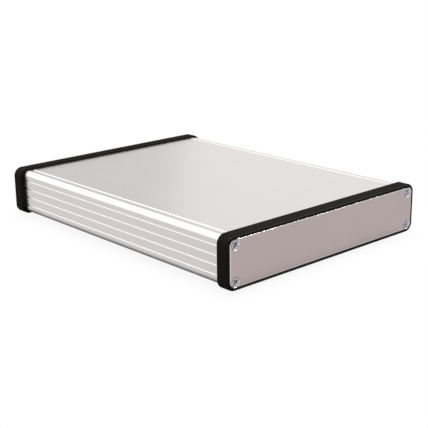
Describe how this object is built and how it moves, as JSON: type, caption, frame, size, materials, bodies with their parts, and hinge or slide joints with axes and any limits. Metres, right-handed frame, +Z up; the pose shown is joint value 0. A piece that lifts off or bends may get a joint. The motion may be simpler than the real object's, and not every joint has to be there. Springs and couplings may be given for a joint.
{
  "type": "extruded aluminium enclosure",
  "caption": "Flat hollow extruded aluminium instrument case with grooved sides, slide-in belly plate, black bezels and screwed flat end panels, for circuit boards held in its side slots.",
  "frame": {"origin": "on the surface that the feet stand on, under the middle of the enclosure", "axes": "+X across the width, to the right as seen from the front; +Y along the extrusion, from the front panel to the rear panel; +Z up"},
  "size_m": [0.1704, 0.227, 0.0353],
  "materials": {
    "body_aluminium": "clear anodised, satin, with fine extrusion lines along the length",
    "panel_aluminium": "clear anodised flat sheet, fine satin grain, with a bright chamfered edge",
    "bezel_plastic": "moulded, low sheen, very fine texture",
    "screw_steel": "bright plated steel",
    "foot_rubber": "matte"
  },
  "bodies": {
    "root": {"extruded_body": "body_aluminium", "belly_plate": "body_aluminium", "front_bezel": "bezel_plastic", "rear_bezel": "bezel_plastic", "front_panel": "panel_aluminium", "rear_panel": "panel_aluminium", "front_screw_lower_left": "screw_steel", "front_screw_lower_right": "screw_steel", "front_screw_upper_left": "screw_steel", "front_screw_upper_right": "screw_steel", "rear_screw_lower_left": "screw_steel", "rear_screw_lower_right": "screw_steel", "rear_screw_upper_left": "screw_steel", "rear_screw_upper_right": "screw_steel", "foot_front_left": "foot_rubber", "foot_front_right": "foot_rubber", "foot_rear_left": "foot_rubber", "foot_rear_right": "foot_rubber"}
  },
  "joints": []
}
